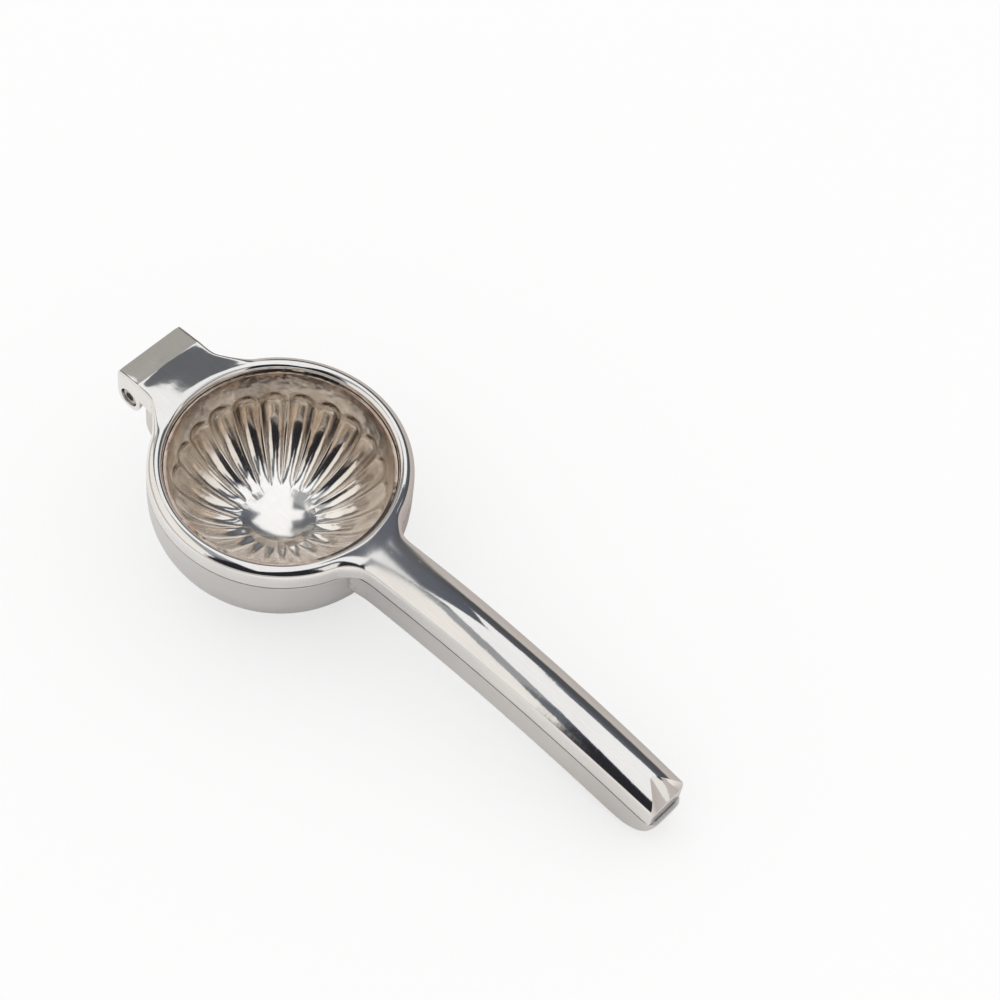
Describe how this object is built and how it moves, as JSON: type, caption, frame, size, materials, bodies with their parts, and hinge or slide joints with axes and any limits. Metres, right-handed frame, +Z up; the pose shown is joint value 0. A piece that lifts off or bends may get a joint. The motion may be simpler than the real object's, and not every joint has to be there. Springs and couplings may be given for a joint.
{
  "type": "hinged lemon squeezer",
  "caption": "Hinged hand squeezer for lemons: a fluted press cup on the upper arm turns on a pin into a perforated strainer cup on the lower arm.",
  "frame": {"origin": "on the table, under the middle of the tool's length and width, with the closed tool lying as it rests on a table", "axes": "+X towards the handle's tip, +Y to the side of the pin's round head, +Z up off the table"},
  "size_m": [0.2106, 0.08, 0.0498],
  "materials": {
    "polished_steel": "polished stainless steel with fine brushing on the side walls",
    "satin_steel": "satin stainless steel",
    "pin_steel": "turned stainless steel"
  },
  "bodies": {
    "lower_arm": {"strainer_cup": "polished_steel", "lower_shell": "polished_steel", "lower_liner": "satin_steel", "hinge_block": "satin_steel"},
    "upper_arm": {"upper_shell": "polished_steel", "upper_liner": "satin_steel", "press_cup": "polished_steel", "hinge_barrel": "pin_steel", "hinge_screw": "pin_steel"}
  },
  "joints": [
    {"name": "hinge_pin_turn", "type": "hinge", "parent": "lower_arm", "child": "upper_arm", "pos_m": [-0.10052, 0, 0.04047], "axis": [0, -1, 0], "range_deg": [0, 145]}
  ]
}
